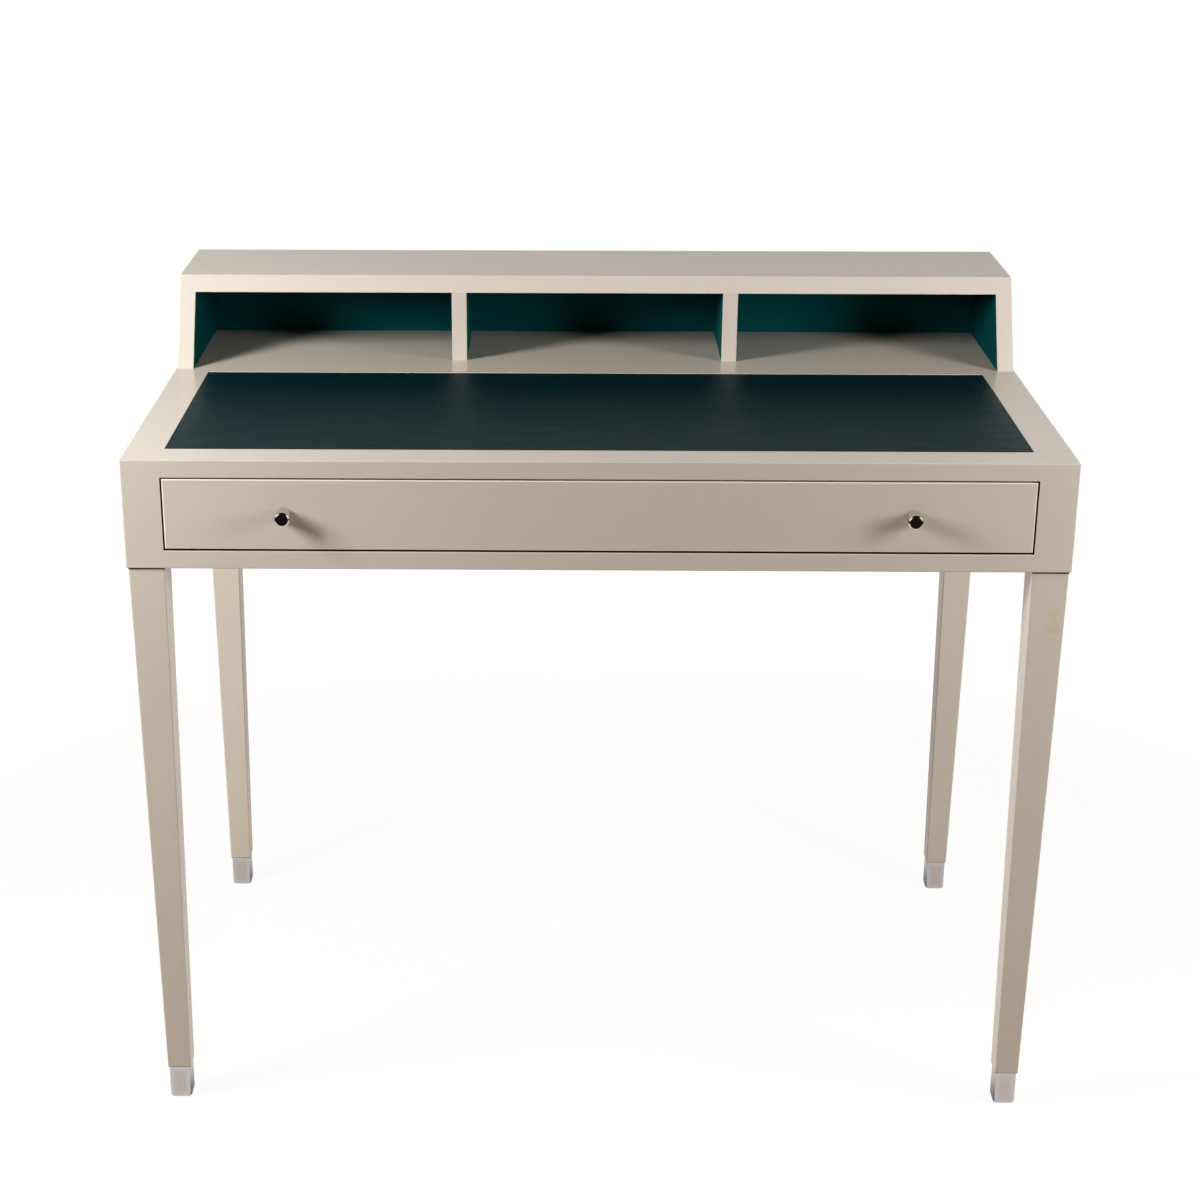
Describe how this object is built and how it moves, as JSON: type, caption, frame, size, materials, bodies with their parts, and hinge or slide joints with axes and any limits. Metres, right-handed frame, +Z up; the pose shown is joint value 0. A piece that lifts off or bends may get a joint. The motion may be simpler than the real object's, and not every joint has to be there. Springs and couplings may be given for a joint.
{
  "type": "writing desk",
  "caption": "Lacquered writing desk with a raked open gallery of pigeonholes, an inset leather writing surface, a wide drawer with round knobs, and tapered legs in metal ferrules.",
  "frame": {"origin": "on the floor, under the middle of the desk's whole box with its knobs", "axes": "+X along the desk to the right of someone sitting at it, +Y from the drawer front to the back, +Z up"},
  "size_m": [1, 0.588, 0.882],
  "materials": {
    "taupe_lacquer": "satin lacquer",
    "teal_lacquer": "satin lacquer",
    "leather": "fine grained",
    "polished_nickel": "polished",
    "beech": "clear matt varnish",
    "zinc_steel": "zinc plated",
    "nylon": "matt"
  },
  "bodies": {
    "case": {"desk_top": "taupe_lacquer", "writing_leather": "leather", "case_bottom": "taupe_lacquer", "case_side_left": "taupe_lacquer", "case_side_right": "taupe_lacquer", "case_back": "taupe_lacquer", "corner_post_front_left": "taupe_lacquer", "corner_post_front_right": "taupe_lacquer", "corner_post_back_left": "taupe_lacquer", "corner_post_back_right": "taupe_lacquer", "runner_batten_left": "beech", "runner_batten_right": "beech", "drawer_stops": "beech", "case_dowels": "beech", "case_screws": "zinc_steel", "batten_screws": "zinc_steel", "leg_front_left": "taupe_lacquer", "leg_front_right": "taupe_lacquer", "leg_back_left": "taupe_lacquer", "leg_back_right": "taupe_lacquer", "ferrule_front_left": "polished_nickel", "ferrule_front_right": "polished_nickel", "ferrule_back_left": "polished_nickel", "ferrule_back_right": "polished_nickel", "leg_studs": "zinc_steel", "leg_inserts": "zinc_steel", "gallery_side_left": "taupe_lacquer", "gallery_side_right": "taupe_lacquer", "gallery_top": "taupe_lacquer", "gallery_back": "teal_lacquer", "divider_left": "teal_lacquer", "divider_right": "teal_lacquer", "gallery_screws": "zinc_steel", "gallery_dowels": "beech", "runner_outer_left": "zinc_steel", "runner_outer_right": "zinc_steel", "runner_screws_case": "zinc_steel"},
    "drawer": {"drawer_front": "taupe_lacquer", "drawer_box_front": "beech", "drawer_box_back": "beech", "drawer_side_left": "beech", "drawer_side_right": "beech", "drawer_bottom": "beech", "drawer_dowels": "beech", "drawer_front_screws": "zinc_steel", "knob_left": "polished_nickel", "knob_right": "polished_nickel", "knob_screws": "zinc_steel", "runner_inner_left": "zinc_steel", "runner_inner_right": "zinc_steel", "runner_screws_drawer": "zinc_steel"},
    "runner_middle_left": {"runner_middle_left": "zinc_steel", "runner_balls_left": "zinc_steel", "ball_strips_left": "nylon"},
    "runner_middle_right": {"runner_middle_right": "zinc_steel", "runner_balls_right": "zinc_steel", "ball_strips_right": "nylon"}
  },
  "joints": [
    {"name": "drawer_slide", "type": "slide", "parent": "case", "child": "drawer", "axis": [0, -1, 0], "range_m": [0, 0.34]},
    {"name": "left_runner_slide", "type": "slide", "parent": "case", "child": "runner_middle_left", "axis": [0, -1, 0], "range_m": [0, 0.17]},
    {"name": "right_runner_slide", "type": "slide", "parent": "case", "child": "runner_middle_right", "axis": [0, -1, 0], "range_m": [0, 0.17]}
  ],
  "couplings": [
    {"joint": "left_runner_slide", "follows": "drawer_slide", "ratio": 0.5},
    {"joint": "right_runner_slide", "follows": "drawer_slide", "ratio": 0.5}
  ]
}
